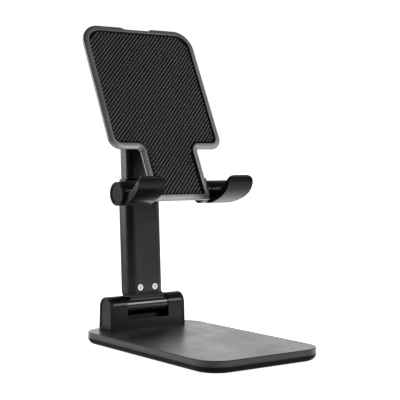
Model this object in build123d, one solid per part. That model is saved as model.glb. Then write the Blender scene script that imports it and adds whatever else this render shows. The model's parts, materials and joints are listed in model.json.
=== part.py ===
from build123d import *
import os
from math import cos, radians, sin

# Foldable telescopic phone stand.
# Origin: centre of the base's underside, on the desk. +X is the stand's right
# side seen from the front, -Y is the front, +Z is up. Millimetres, degrees.
# Arm pieces are drawn in an arm frame (origin on the base hinge, +Z along the
# arm). Plate pieces are drawn in a plate frame (origin at the middle of the
# neck's foot on the front plane, +Z up the plate, +Y behind it). Hook pieces
# are drawn around the hook pivot.

# ---- fits and clearances ----
RUN_GAP = 0.05          # radial gap of a pin in a turning bore
SLIDE_GAP = 0.08        # gap of the sliding tube in its guides
SEAT_GAP = 0.10         # gap of a piece set into a pocket
SIDE_GAP = 0.20         # gap beside a turning barrel
TURN_GAP = 0.30         # gap between curved faces that turn past each other
CUT_PAST = 1.0          # how far a cut runs on past the face it opens
PICK_NEAR = 0.01        # how near a corner lies to the spot it is picked by

# ---- base ----
BASE_LENGTH = 123.2
BASE_WIDTH = 76.0
BASE_CORNER_R = 13.6
BASE_TOP = 7.1
BASE_SEAM = 4.0
BASE_FLOOR_Z = 0.5
BASE_UNDERCUT_R = 3.3
BASE_EDGE_BEVEL = 0.35
TRAY_FLOOR = 1.5
COVER_SKIN = 2.0
BASE_RIM = 5.2
MAT_THICKNESS = 1.0
MAT_INSET = 6.0
WEIGHT_LENGTH = 70.0
WEIGHT_WIDTH = 56.0
WEIGHT_THICKNESS = 2.9
WEIGHT_Y = -8.0
BOSS_R = 3.2
BOSS_SEAT_R = 4.2
BOSS_X = 27.5
BOSS_FRONT_Y = -49.5
BOSS_REAR_Y = 36.0

# ---- screws ----
SCREW_R = 1.0
SCREW_HEAD_R = 1.9
SCREW_HEAD_DEPTH = 1.1
SCREW_SLOT_WIDTH = 0.5
SCREW_SLOT_LENGTH = 2.1
SCREW_SLOT_DEPTH = 0.7
BASE_SCREW_LENGTH = 4.6
HOUSING_SCREW_LENGTH = 6.5

# ---- hinge housing on the base ----
HINGE_Y = 53.8
HINGE_Z = 19.6
HOUSING_CHEEK = 9.5
HOUSING_ARCH_R = 6.0
HOUSING_FOOT_HALF = 6.6
WINDOW_WIDTH = 28.0
WINDOW_SILL_DROP = 7.0
BACK_WALL_DROP = 3.0
HINGE_CAP_THICKNESS = 2.1
HINGE_CAP_SINK = 0.5
HINGE_CAP_RIM = 1.2
HINGE_CAP_STEP = 0.05
HINGE_CAP_EDGE_R = 0.4
CAP_SPIGOT_R = 3.6
CAP_SPIGOT_LENGTH = 1.2
CAP_SPIGOT_ROOT = 0.5
HOUSING_SCREW_INSET = 4.5

# ---- base hinge ----
PIN_R = 2.0
PIN_HEAD_R = 3.6
PIN_HEAD_DEPTH = 1.6
COUNTERBORE_R = 4.3
COUNTERBORE_DEPTH = 6.0
SPRING_R = 3.9
SPRING_THICKNESS = 0.5
SPRING_DISH = 0.25
SPRING_COUNT = 3
NUT_ACROSS = 7.0
NUT_THICKNESS = 2.0
KNUCKLE_R = 5.5
NECK_THICKNESS = 8.4
NECK_WIDTH = 21.8
SHOULDER_START = 6.8
SHOULDER_THICKNESS = 0.9

# ---- arm ----
ARM_LEAN = 3.0
TUBE_WIDTH = 23.2
TUBE_DEPTH = 13.4
TUBE_CORNER_R = 4.8
TUBE_BEHIND = 0.8
TUBE_WALL = 1.1
TUBE_TOP = 70.5
TUBE_PLUG_TOP = 15.0
ARM_SCREW_RISE = 10.4
ARM_SCREW_PITCH = 10.0
ARM_SCREW_LENGTH = 4.4
COLLAR_HEIGHT = 2.6
COLLAR_STEP = 0.4
COLLAR_EDGE_R = 1.05
GUIDE_LENGTH = 8.4

# ---- sliding inner tube ----
INNER_WIDTH = 20.0
INNER_DEPTH = 10.2
INNER_WALL = 1.0
INNER_TOP = 124.1
FOOT_BOTTOM = 56.2
FOOT_FLANGE = 5.6
FOOT_PLUG = 8.0
LEAF_WIDTH = 8.0
LEAF_LENGTH = 4.4
LEAF_THICKNESS = 0.3
LEAF_POCKET = 0.9
TOP_PLUG = 13.0
CROSS_PIN_R = 1.0
CROSS_PIN_DROP = 6.0

# ---- tilt hinge behind the plate ----
HUB_RISE = 132.7
HUB_BEHIND = 12.74
HUB_UP_PLATE = 84.21
HUB_R = 5.4
HUB_WIDTH = 11.6
HUB_NECK_DEPTH = 7.0
HUB_SHOULDER = 1.6
CHEEK_THICKNESS = 5.0
CHEEK_R = 5.9
BRACKET_WIDTH = 34.0
BRACKET_HEIGHT = 22.0
BRACKET_THICKNESS = 2.0
BRACKET_CORNER_R = 3.0
BRACKET_SCREW_X = 13.8
BRACKET_SCREW_V = 7.6
BRACKET_SCREW_LENGTH = 3.4
TILT_BORE_R = 4.3
TILT_BORE_DEPTH = 2.4
TILT_WASHER_R = 3.8
TILT_WASHER_THICKNESS = 0.4
TILT_HEAD_R = 3.4

# ---- plate ----
PLATE_LEAN = 25.9
PLATE_HEIGHT = 108.5
PLATE_WIDTH = 75.3
NECK_PLATE_WIDTH = 38.0
SHOULDER_V = 31.3
PLATE_TOP_R = 11.5
PLATE_LOW_R = 7.3
PLATE_FOOT_R = 1.2
PAD_FOOT_R = 0.4
PLATE_INNER_R = 2.0
PLATE_THICKNESS = 3.6
FRAME_THICKNESS = 1.7
FRAME_WIDTH = 3.2
FRAME_SLOPE_WIDTH = 2.3
FRAME_SLOPE_DEPTH = 0.7
SHELL_SETBACK = 0.6
SHELL_EDGE_R = 1.0
NOTCH_TOP_HALF = 10.5
NOTCH_LOW_HALF = 8.0
NOTCH_DEPTH = 1.3
PAD_RECESS = 0.4
PAD_GAP = 0.35

# ---- phone hooks ----
PIVOT_BEHIND = 6.6
PIVOT_UP_PLATE = 7.2
BARREL_R = 6.45
EAR_R = 6.4
EAR_ROOT_DROP = 3.2
EAR_ROOT_RISE = 6.3
EAR_INNER = 17.0
EAR_THICKNESS = 3.7
HOOK_GAP = 0.45
HOOK_WIDTH = 15.2
HOOK_FLARE = 2.0
HOOK_FLARE_START = 7.2
HOOK_FLARE_END = 15.0
HOOK_TIP_HEIGHT = 9.85
HOOK_TIP_REACH = 22.4
HOOK_TIP_THICKNESS = 2.2
HOOK_ROOT_REACH = 5.8
HOOK_ROOT_DROP = 1.0
HOOK_SEAT_REACH = 13.2
HOOK_SEAT_HEIGHT = 1.6
HOOK_SEAT_THICKNESS = 5.0
HOOK_BEND_REACH = 20.2
HOOK_BEND_HEIGHT = 1.7
HOOK_CORNER_R = 4.5
HOOK_EDGE_R = 0.3
HOOK_PIN_R = 1.8
HOOK_PIN_HEAD_R = 3.0
HOOK_PIN_HEAD = 1.4
HOOK_WASHER_R = 5.6
HOOK_BORE_R = 3.3
HOOK_BORE_DEPTH = 3.2
HOOK_CAP_GAP = 0.3
HOOK_CAP_THICKNESS = 1.6
HOOK_CAP_RIM = 1.3
HOOK_CAP_SINK = 0.5

# ---- places worked out from the values above ----
HOUSING_WIDTH = WINDOW_WIDTH + 2 * HOUSING_CHEEK
HOUSING_SCREW_X = WINDOW_WIDTH / 2 + HOUSING_SCREW_INSET
HUB_Y = HINGE_Y + HUB_RISE * sin(radians(ARM_LEAN)) + TUBE_BEHIND * cos(radians(ARM_LEAN))
HUB_Z = HINGE_Z + HUB_RISE * cos(radians(ARM_LEAN)) - TUBE_BEHIND * sin(radians(ARM_LEAN))
ARM = Pos(0, HINGE_Y, HINGE_Z) * Rot(-ARM_LEAN, 0, 0)
TUBE = ARM * Pos(0, TUBE_BEHIND, 0)
PLATE = Pos(0, HUB_Y, HUB_Z) * Rot(-PLATE_LEAN, 0, 0) * Pos(0, -HUB_BEHIND, -HUB_UP_PLATE)
PIVOT = PLATE * Pos(0, PIVOT_BEHIND, PIVOT_UP_PLATE) * Rot(PLATE_LEAN, 0, 0)
HOOK_INNER = EAR_INNER + EAR_THICKNESS + HOOK_GAP
HOOK_OUTER = HOOK_INNER + HOOK_WIDTH
TUBE_START = SHOULDER_START + SHOULDER_THICKNESS
CAVITY_WIDTH = TUBE_WIDTH - 2 * TUBE_WALL
CAVITY_DEPTH = TUBE_DEPTH - 2 * TUBE_WALL
WEIGHT_TOP = BASE_FLOOR_Z + TRAY_FLOOR + WEIGHT_THICKNESS
BOSSES = [(x, y) for x in (-BOSS_X, BOSS_X) for y in (BOSS_FRONT_Y, BOSS_REAR_Y)]
SIDES = {"left": -1, "right": 1}


# ---- shape helpers ----
def x_rod(radius, x0, x1):
    """A cylinder along X from x0 to x1."""
    return Pos((x0 + x1) / 2, 0, 0) * Rot(0, 90, 0) * Cylinder(radius, abs(x1 - x0))


def z_rod(radius, z0, z1):
    """A cylinder along Z from z0 to z1."""
    return Pos(0, 0, (z0 + z1) / 2) * Cylinder(radius, z1 - z0)


def block(x0, x1, y0, y1, z0, z1):
    """A box given by its six faces."""
    return Pos((x0 + x1) / 2, (y0 + y1) / 2, (z0 + z1) / 2) * Box(x1 - x0, y1 - y0, z1 - z0)


def oval(width, depth):
    """The flattened section that all tube pieces share, its corners drawn in with its width."""
    return RectangleRounded(width, depth, TUBE_CORNER_R - (TUBE_WIDTH - width) / 2)


def oval_bar(width, depth, z0, z1):
    """A solid bar of the oval section from z0 to z1."""
    return Pos(0, 0, z0) * extrude(oval(width, depth), z1 - z0)


def base_slab(inset, z0, z1):
    """A slab of the base's rounded outline, drawn in by inset."""
    outline = RectangleRounded(BASE_WIDTH - 2 * inset, BASE_LENGTH - 2 * inset, BASE_CORNER_R - inset)
    return Pos(0, 0, z0) * extrude(outline, z1 - z0)


def side_slab(profile, x0, x1):
    """Extrude a (y, z) profile along X from x0 to x1."""
    return Pos(x0, 0, 0) * extrude(Plane.YZ * profile, x1 - x0)


def plate_slab(outline, y0, y1):
    """Extrude an (x, z) outline backwards from y0 to y1."""
    return Pos(0, y0, 0) * extrude(Plane.XZ * outline, y0 - y1)


def screw(length):
    """Countersunk cross-recess screw, head face at the origin, shank along -Z."""
    head = Pos(0, 0, -SCREW_HEAD_DEPTH / 2) * Cone(SCREW_R, SCREW_HEAD_R, SCREW_HEAD_DEPTH)
    slot = Pos(0, 0, -SCREW_SLOT_DEPTH / 2) * Box(SCREW_SLOT_LENGTH, SCREW_SLOT_WIDTH, SCREW_SLOT_DEPTH)
    return head + z_rod(SCREW_R, -length, -SCREW_HEAD_DEPTH) - slot - Rot(0, 0, 90) * slot


def screw_hole(length):
    """The hole for one screw, with its countersink."""
    sink_r = SCREW_HEAD_R + RUN_GAP
    shank_r = SCREW_R + RUN_GAP
    sink = Pos(0, 0, -SCREW_HEAD_DEPTH / 2) * Cone(shank_r, sink_r, SCREW_HEAD_DEPTH)
    shank = z_rod(shank_r, -length - SEAT_GAP, -SCREW_HEAD_DEPTH)
    way_in = z_rod(sink_r, 0, 2 * SCREW_HEAD_DEPTH)
    return sink + shank + way_in


def group(shapes):
    """Keep like pieces as separate solids of one node."""
    return Compound(children=[solid for shape in shapes for solid in shape.solids()])


# ---- base ----
def base_screw_places():
    """Head faces of the four screws under the mat, pointing down."""
    floor = MAT_THICKNESS
    return [Pos(x, y, floor) * Rot(180, 0, 0) for x, y in BOSSES]


def housing_screw_places():
    """Head faces of the screws that rise through the cover into the housing."""
    return [Pos(x, HINGE_Y, BASE_TOP - COVER_SKIN) * Rot(180, 0, 0)
            for x in (-HOUSING_SCREW_X, HOUSING_SCREW_X)]


def base_tray():
    body = base_slab(0, BASE_FLOOR_Z, BASE_SEAM)
    body = fillet(body.faces().sort_by(Axis.Z)[0].edges(), BASE_UNDERCUT_R)
    body -= base_slab(BASE_RIM, BASE_FLOOR_Z + TRAY_FLOOR, BASE_SEAM + CUT_PAST)
    body -= base_slab(MAT_INSET - SEAT_GAP, 0, MAT_THICKNESS)
    for x, y in BOSSES:
        body += Pos(x, y, 0) * z_rod(BOSS_SEAT_R, MAT_THICKNESS, BASE_FLOOR_Z + TRAY_FLOOR)
    for place in base_screw_places():
        body -= place * screw_hole(BASE_SCREW_LENGTH)
    return body


def base_cover():
    body = base_slab(0, BASE_SEAM, BASE_TOP)
    body = chamfer(body.faces().sort_by(Axis.Z)[-1].edges(), BASE_EDGE_BEVEL)
    body -= base_slab(BASE_RIM, BASE_SEAM - CUT_PAST, BASE_TOP - COVER_SKIN)
    for x, y in BOSSES:
        body += Pos(x, y, 0) * z_rod(BOSS_R, BASE_FLOOR_Z + TRAY_FLOOR, BASE_TOP - COVER_SKIN)
    for place in base_screw_places():
        body -= place * screw_hole(BASE_SCREW_LENGTH)
    for place in housing_screw_places():
        body -= place * screw_hole(HOUSING_SCREW_LENGTH)
    return body


def base_weight():
    outline = RectangleRounded(WEIGHT_WIDTH, WEIGHT_LENGTH, BOSS_R)
    plate = Pos(0, WEIGHT_Y, WEIGHT_TOP - WEIGHT_THICKNESS) * extrude(outline, WEIGHT_THICKNESS)
    return plate


def base_mat():
    return base_slab(MAT_INSET, 0, MAT_THICKNESS)


# ---- hinge housing ----
def arch_profile(shrink):
    """Arch-ended side view of the housing about the hinge line, down to the base."""
    foot = BASE_TOP - HINGE_Z
    half = HOUSING_FOOT_HALF - shrink
    radius = HOUSING_ARCH_R - shrink
    trunk = make_face(Polyline((-half, foot), (half, foot), (radius, 0), (-radius, 0), close=True))
    return trunk + Circle(radius)


def hinge_housing():
    half_window = WINDOW_WIDTH / 2
    body = side_slab(arch_profile(0), -HOUSING_WIDTH / 2, HOUSING_WIDTH / 2)
    reach = 2 * HOUSING_FOOT_HALF
    body -= x_rod(KNUCKLE_R + TURN_GAP, -half_window, half_window)
    body -= block(-half_window, half_window, -reach, 0, -WINDOW_SILL_DROP, reach)
    body -= block(-half_window, half_window, -reach, reach, -BACK_WALL_DROP, reach)
    body -= x_rod(PIN_R + RUN_GAP, -HOUSING_WIDTH, HOUSING_WIDTH)
    for side in SIDES.values():
        face = side * HOUSING_WIDTH / 2
        body -= x_rod(COUNTERBORE_R, face - side * COUNTERBORE_DEPTH, face + side * CUT_PAST)
    body = Pos(0, HINGE_Y, HINGE_Z) * body
    for place in housing_screw_places():
        body -= place * screw_hole(HOUSING_SCREW_LENGTH)
    return body


def hinge_cap(side):
    inner = side * HOUSING_WIDTH / 2
    outer = inner + side * HINGE_CAP_THICKNESS
    body = side_slab(arch_profile(HINGE_CAP_STEP), min(inner, outer), max(inner, outer))
    face = body.faces().sort_by(Axis.X)[-1 if side > 0 else 0]
    body = fillet(face.edges(), HINGE_CAP_EDGE_R)
    sink_x = sorted((outer - side * HINGE_CAP_SINK, outer + side * CUT_PAST))
    sink = side_slab(arch_profile(HINGE_CAP_RIM), *sink_x)
    lip = BASE_TOP - HINGE_Z + HINGE_CAP_RIM
    body -= sink & block(-BASE_WIDTH, BASE_WIDTH, -BASE_WIDTH, BASE_WIDTH, lip, BASE_WIDTH)
    body += x_rod(CAP_SPIGOT_R, inner - side * CAP_SPIGOT_LENGTH, inner + side * CAP_SPIGOT_ROOT)
    return Pos(0, HINGE_Y, HINGE_Z) * body


def hinge_pin():
    seat = HOUSING_WIDTH / 2 - COUNTERBORE_DEPTH
    tail = HOUSING_WIDTH / 2 - CAP_SPIGOT_LENGTH - SEAT_GAP
    body = x_rod(PIN_R, -seat, tail)
    body += x_rod(PIN_HEAD_R, -seat - PIN_HEAD_DEPTH, -seat)
    return Pos(0, HINGE_Y, HINGE_Z) * body


def dished_washer(start, outer_r, bore_r, thickness, dish):
    """One dished spring washer along X whose rim rises by dish."""
    profile = make_face(Polyline(
        (bore_r, 0), (outer_r, dish), (outer_r, dish + thickness), (bore_r, thickness), close=True))
    ring = revolve(Plane.XZ * profile, Axis.Z)
    return Pos(start, 0, 0) * Rot(0, 90, 0) * ring


def hinge_springs():
    seat = HOUSING_WIDTH / 2 - COUNTERBORE_DEPTH
    bore = PIN_R + RUN_GAP
    stack = [dished_washer(seat + i * SPRING_THICKNESS, SPRING_R, bore, SPRING_THICKNESS, SPRING_DISH)
             for i in range(SPRING_COUNT)]
    return Pos(0, HINGE_Y, HINGE_Z) * group(stack)


def x_nut(start, across, bore_r, thickness):
    """A hexagon nut along X."""
    body = extrude(RegularPolygon(across / 2, 6, major_radius=False), thickness)
    body -= z_rod(bore_r, -CUT_PAST, thickness + CUT_PAST)
    return Pos(start, 0, 0) * Rot(0, 90, 0) * body


def hinge_nut():
    stack = SPRING_COUNT * SPRING_THICKNESS + SPRING_DISH
    start = HOUSING_WIDTH / 2 - COUNTERBORE_DEPTH + stack
    return Pos(0, HINGE_Y, HINGE_Z) * x_nut(start, NUT_ACROSS, PIN_R + RUN_GAP, NUT_THICKNESS)


# ---- arm ----
def arm_screw_places():
    """Head faces of the two screws on the front of the tube."""
    return [Pos(side * ARM_SCREW_PITCH / 2, -TUBE_DEPTH / 2, ARM_SCREW_RISE) * Rot(90, 0, 0)
            for side in SIDES.values()]


def hinge_knuckle():
    half = WINDOW_WIDTH / 2 - SIDE_GAP
    body = x_rod(KNUCKLE_R, -half, half)
    body += block(-NECK_WIDTH / 2, NECK_WIDTH / 2, -NECK_THICKNESS / 2, NECK_THICKNESS / 2,
                  0, SHOULDER_START + SHOULDER_THICKNESS / 2)
    behind = Pos(0, TUBE_BEHIND, 0)
    body += behind * oval_bar(TUBE_WIDTH, TUBE_DEPTH, SHOULDER_START, TUBE_START)
    body += behind * oval_bar(CAVITY_WIDTH - 2 * SEAT_GAP, CAVITY_DEPTH - 2 * SEAT_GAP,
                              TUBE_START, TUBE_PLUG_TOP)
    body -= x_rod(PIN_R + RUN_GAP, -WINDOW_WIDTH, WINDOW_WIDTH)
    for place in arm_screw_places():
        body -= behind * place * screw_hole(ARM_SCREW_LENGTH)
    return ARM * body


def outer_tube():
    body = oval_bar(TUBE_WIDTH, TUBE_DEPTH, TUBE_START, TUBE_TOP)
    body -= oval_bar(CAVITY_WIDTH, CAVITY_DEPTH, TUBE_START - CUT_PAST, TUBE_TOP + CUT_PAST)
    for place in arm_screw_places():
        body -= place * screw_hole(ARM_SCREW_LENGTH)
    return TUBE * body


def tube_collar():
    """Rounded bead on the tube's mouth, a little smaller than the tube."""
    body = oval_bar(TUBE_WIDTH - 2 * COLLAR_STEP, TUBE_DEPTH - 2 * COLLAR_STEP,
                    TUBE_TOP, TUBE_TOP + COLLAR_HEIGHT)
    body = fillet(body.edges().filter_by(Plane.XY), COLLAR_EDGE_R)
    body -= oval_bar(INNER_WIDTH + 2 * SLIDE_GAP, INNER_DEPTH + 2 * SLIDE_GAP,
                     TUBE_TOP - CUT_PAST, TUBE_TOP + COLLAR_HEIGHT + CUT_PAST)
    return TUBE * body


def tube_guide():
    body = oval_bar(CAVITY_WIDTH, CAVITY_DEPTH, TUBE_TOP - GUIDE_LENGTH, TUBE_TOP)
    body -= oval_bar(INNER_WIDTH + 2 * SLIDE_GAP, INNER_DEPTH + 2 * SLIDE_GAP,
                     TUBE_TOP - GUIDE_LENGTH - CUT_PAST, TUBE_TOP + CUT_PAST)
    return TUBE * body


# ---- sliding inner tube ----
def cross_pin_cut(radius):
    """The hole or pin that crosses the inner tube under its top plug's shoulder."""
    return Pos(0, 0, INNER_TOP - CROSS_PIN_DROP) * x_rod(radius, -INNER_WIDTH / 2, INNER_WIDTH / 2)


def inner_tube():
    bottom = FOOT_BOTTOM + FOOT_FLANGE
    body = oval_bar(INNER_WIDTH, INNER_DEPTH, bottom, INNER_TOP)
    body -= oval_bar(INNER_WIDTH - 2 * INNER_WALL, INNER_DEPTH - 2 * INNER_WALL,
                     bottom - CUT_PAST, INNER_TOP + CUT_PAST)
    body -= cross_pin_cut(CROSS_PIN_R + RUN_GAP)
    return TUBE * body


def slider_foot():
    flange_top = FOOT_BOTTOM + FOOT_FLANGE
    body = oval_bar(CAVITY_WIDTH - 2 * SLIDE_GAP, CAVITY_DEPTH - 2 * SLIDE_GAP, FOOT_BOTTOM, flange_top)
    plug_width = INNER_WIDTH - 2 * INNER_WALL - 2 * SEAT_GAP
    plug_depth = INNER_DEPTH - 2 * INNER_WALL - 2 * SEAT_GAP
    body += oval_bar(plug_width, plug_depth, flange_top, flange_top + FOOT_PLUG)
    back = CAVITY_DEPTH / 2 - SLIDE_GAP
    middle = FOOT_BOTTOM + FOOT_FLANGE / 2
    pocket_half = LEAF_LENGTH / 2 + SEAT_GAP
    body -= block(-LEAF_WIDTH / 2 - SEAT_GAP, LEAF_WIDTH / 2 + SEAT_GAP,
                  back - LEAF_POCKET, back + CUT_PAST,
                  middle - pocket_half, middle + pocket_half)
    return TUBE * body


def slider_spring():
    """Bowed steel leaf in the foot's back pocket; its crown stands near the tube wall."""
    floor = CAVITY_DEPTH / 2 - SLIDE_GAP - LEAF_POCKET
    crown = CAVITY_DEPTH / 2 - SLIDE_GAP
    half = LEAF_LENGTH / 2
    outer = ThreePointArc((floor + LEAF_THICKNESS, -half), (crown, 0), (floor + LEAF_THICKNESS, half))
    inner = ThreePointArc((floor, half), (crown - LEAF_THICKNESS, 0), (floor, -half))
    ends = [Line(outer @ 1, inner @ 0), Line(inner @ 1, outer @ 0)]
    bow = make_face([outer, inner] + ends)
    return TUBE * Pos(0, 0, FOOT_BOTTOM + FOOT_FLANGE / 2) * side_slab(bow, -LEAF_WIDTH / 2, LEAF_WIDTH / 2)


def tilt_knuckle():
    plug_width = INNER_WIDTH - 2 * INNER_WALL - 2 * SEAT_GAP
    plug_depth = INNER_DEPTH - 2 * INNER_WALL - 2 * SEAT_GAP
    body = oval_bar(plug_width, plug_depth, INNER_TOP - TOP_PLUG, INNER_TOP)
    body += oval_bar(INNER_WIDTH, INNER_DEPTH, INNER_TOP, INNER_TOP + HUB_SHOULDER)
    body += block(-HUB_WIDTH / 2, HUB_WIDTH / 2, -HUB_NECK_DEPTH / 2, HUB_NECK_DEPTH / 2,
                  INNER_TOP, HUB_RISE)
    body += Pos(0, 0, HUB_RISE) * x_rod(HUB_R, -HUB_WIDTH / 2, HUB_WIDTH / 2)
    body -= Pos(0, 0, HUB_RISE) * x_rod(PIN_R + RUN_GAP, -HUB_WIDTH, HUB_WIDTH)
    body -= cross_pin_cut(CROSS_PIN_R + RUN_GAP)
    return TUBE * body


def cross_pin():
    return TUBE * cross_pin_cut(CROSS_PIN_R)


# ---- plate ----
def tee(inset):
    """T outline of the plate, drawn in by inset, with every corner rounded."""
    half = PLATE_WIDTH / 2 - inset
    neck = NECK_PLATE_WIDTH / 2 - inset
    foot = inset
    shoulder = SHOULDER_V + inset
    top = PLATE_HEIGHT - inset
    corners = Polyline((-neck, foot), (neck, foot), (neck, shoulder), (half, shoulder), (half, top),
                       (-half, top), (-half, shoulder), (-neck, shoulder), close=True)
    outline = make_face(corners)
    foot_r = max(PLATE_FOOT_R - inset, PAD_FOOT_R)
    rules = [(half, top, PLATE_TOP_R - inset), (half, shoulder, PLATE_LOW_R - inset),
             (neck, shoulder, PLATE_INNER_R + inset), (neck, foot, foot_r)]
    for x, z, radius in rules:
        spots = [v for v in outline.vertices()
                 if abs(abs(v.X) - x) < PICK_NEAR and abs(v.Y - z) < PICK_NEAR]
        outline = fillet(spots, radius)
    return outline


def notch():
    """Shallow dip in the middle of the plate's top edge."""
    low = PLATE_HEIGHT - NOTCH_DEPTH
    over = PLATE_HEIGHT + CUT_PAST
    return make_face(Polyline((-NOTCH_LOW_HALF, low), (NOTCH_LOW_HALF, low),
                              (NOTCH_TOP_HALF, PLATE_HEIGHT),
                              (NOTCH_TOP_HALF, over), (-NOTCH_TOP_HALF, over),
                              (-NOTCH_TOP_HALF, PLATE_HEIGHT), close=True))


def plate_frame():
    """Rim round the pad, its face sloping back towards the outer edge."""
    face = plate_slab(tee(FRAME_SLOPE_WIDTH), 0, FRAME_THICKNESS).faces().sort_by(Axis.Y)[0]
    body = plate_slab(tee(0), FRAME_SLOPE_DEPTH, FRAME_THICKNESS)
    body += loft([face, body.faces().sort_by(Axis.Y)[0]], ruled=True)
    body -= plate_slab(notch(), -CUT_PAST, FRAME_THICKNESS + CUT_PAST)
    body -= plate_slab(tee(FRAME_WIDTH), -CUT_PAST, FRAME_THICKNESS + CUT_PAST)
    return PLATE * body


def ear(side):
    """Round lug on the shell's foot that carries one hook."""
    inner = side * EAR_INNER
    outer = side * (EAR_INNER + EAR_THICKNESS)
    x0 = min(inner, outer)
    x1 = max(inner, outer)
    body = Pos(0, PIVOT_BEHIND, PIVOT_UP_PLATE) * x_rod(EAR_R, x0, x1)
    body += block(x0, x1, FRAME_THICKNESS, PIVOT_BEHIND,
                  PIVOT_UP_PLATE - EAR_ROOT_DROP, PIVOT_UP_PLATE + EAR_ROOT_RISE)
    neck = NECK_PLATE_WIDTH / 2 + SEAT_GAP
    return body - block(-neck, neck, -CUT_PAST, FRAME_THICKNESS, -BARREL_R, SHOULDER_V)


def hub_axis(shape):
    """Move a shape drawn about the origin onto the tilt hinge's line in the plate frame."""
    return Pos(0, HUB_BEHIND, HUB_UP_PLATE) * shape


def bracket_screw_places():
    """Head faces of the four screws at the back of the bracket."""
    back = PLATE_THICKNESS + BRACKET_THICKNESS
    return [Pos(x, back, HUB_UP_PLATE + v) * Rot(-90, 0, 0)
            for x in (-BRACKET_SCREW_X, BRACKET_SCREW_X) for v in (-BRACKET_SCREW_V, BRACKET_SCREW_V)]


def plate_shell():
    body = plate_slab(tee(SHELL_SETBACK) - notch(), FRAME_THICKNESS, PLATE_THICKNESS)
    rim = body.faces().sort_by(Axis.Y)[-1].edges()
    body = fillet(rim, SHELL_EDGE_R)
    for side in SIDES.values():
        body += ear(side)
    for place in bracket_screw_places():
        body -= place * screw_hole(BRACKET_SCREW_LENGTH)
    pivot = Pos(0, PIVOT_BEHIND, PIVOT_UP_PLATE)
    body -= pivot * x_rod(HOOK_PIN_R + RUN_GAP, -BASE_WIDTH, BASE_WIDTH)
    return PLATE * body


def plate_pad():
    return PLATE * plate_slab(tee(FRAME_WIDTH + PAD_GAP), PAD_RECESS, FRAME_THICKNESS)


def plate_bracket():
    outline = Pos(0, HUB_UP_PLATE) * RectangleRounded(BRACKET_WIDTH, BRACKET_HEIGHT, BRACKET_CORNER_R)
    body = plate_slab(outline, PLATE_THICKNESS, PLATE_THICKNESS + BRACKET_THICKNESS)
    inner = HUB_WIDTH / 2 + SIDE_GAP
    outer = inner + CHEEK_THICKNESS
    for side in SIDES.values():
        x0, x1 = sorted((side * inner, side * outer))
        body += hub_axis(x_rod(CHEEK_R, x0, x1))
        body += block(x0, x1, PLATE_THICKNESS, HUB_BEHIND, HUB_UP_PLATE - CHEEK_R, HUB_UP_PLATE + CHEEK_R)
    body -= hub_axis(x_rod(PIN_R + RUN_GAP, -outer - CUT_PAST, outer + CUT_PAST))
    body -= hub_axis(x_rod(TILT_BORE_R, outer - TILT_BORE_DEPTH, outer + CUT_PAST))
    body -= hub_axis(x_rod(TILT_BORE_R, -outer - CUT_PAST, -outer + TILT_BORE_DEPTH))
    for place in bracket_screw_places():
        body -= place * screw_hole(BRACKET_SCREW_LENGTH)
    return PLATE * body


def tilt_seat():
    """Distance from the middle to the floor of each counterbore in the bracket."""
    return HUB_WIDTH / 2 + SIDE_GAP + CHEEK_THICKNESS - TILT_BORE_DEPTH


def tilt_pin():
    seat = tilt_seat()
    body = x_rod(PIN_R, -seat, seat + TILT_BORE_DEPTH)
    body += x_rod(TILT_HEAD_R, -seat - PIN_HEAD_DEPTH, -seat)
    return PLATE * hub_axis(body)


def tilt_washer():
    seat = tilt_seat()
    body = x_rod(TILT_WASHER_R, seat, seat + TILT_WASHER_THICKNESS)
    return PLATE * hub_axis(body - x_rod(PIN_R + RUN_GAP, seat - CUT_PAST, seat + CUT_PAST))


def tilt_nut():
    return PLATE * hub_axis(x_nut(tilt_seat() + TILT_WASHER_THICKNESS, NUT_ACROSS, PIN_R + RUN_GAP,
                                  TILT_BORE_DEPTH - TILT_WASHER_THICKNESS))


# ---- hooks ----
def hook_profile():
    """Side view of the strap: from under the barrel, forward along the seat and up the lip."""
    low_start = (0, -BARREL_R)
    low_seat = (-HOOK_SEAT_REACH, HOOK_SEAT_HEIGHT - HOOK_SEAT_THICKNESS)
    low_bend = (-HOOK_BEND_REACH, HOOK_BEND_HEIGHT)
    low_tip = (-HOOK_TIP_REACH, HOOK_TIP_HEIGHT - HOOK_TIP_THICKNESS / 2)
    top_tip = (-HOOK_TIP_REACH + HOOK_TIP_THICKNESS / 2, HOOK_TIP_HEIGHT)
    high_tip = (-HOOK_TIP_REACH + HOOK_TIP_THICKNESS, HOOK_TIP_HEIGHT - HOOK_TIP_THICKNESS / 2)
    high_seat = (-HOOK_SEAT_REACH, HOOK_SEAT_HEIGHT)
    high_start = (-HOOK_ROOT_REACH, -HOOK_ROOT_DROP)
    lower = Spline(low_start, low_seat, low_bend, low_tip, tangents=[(-1, 0), (-0.1, 1)])
    upper = Spline(high_tip, high_seat, high_start, tangents=[(0.1, -1), (1, -0.2)])
    tip = ThreePointArc(low_tip, top_tip, high_tip)
    back = Polyline(high_start, (0, 0), low_start)
    return make_face([lower, tip, upper] + list(back.edges()))


def hook_plan(side):
    """Top view of the strap, which widens outwards on its way to the lip."""
    inner = side * HOOK_INNER
    outer = side * HOOK_OUTER
    flared = side * (HOOK_OUTER + HOOK_FLARE)
    front = -2 * HOOK_TIP_REACH
    return make_face(Polyline((inner, BARREL_R), (outer, BARREL_R), (outer, -HOOK_FLARE_START),
                              (flared, -HOOK_FLARE_END), (flared, front), (inner, front), close=True))


def hook_front(side):
    """Front view of the strap, with rounded corners at the top of the lip."""
    width = HOOK_WIDTH + HOOK_FLARE
    height = 4 * HOOK_TIP_HEIGHT
    middle = side * (HOOK_INNER + width / 2)
    return Pos(middle, HOOK_TIP_HEIGHT - height / 2) * RectangleRounded(width, height, HOOK_CORNER_R)


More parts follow.
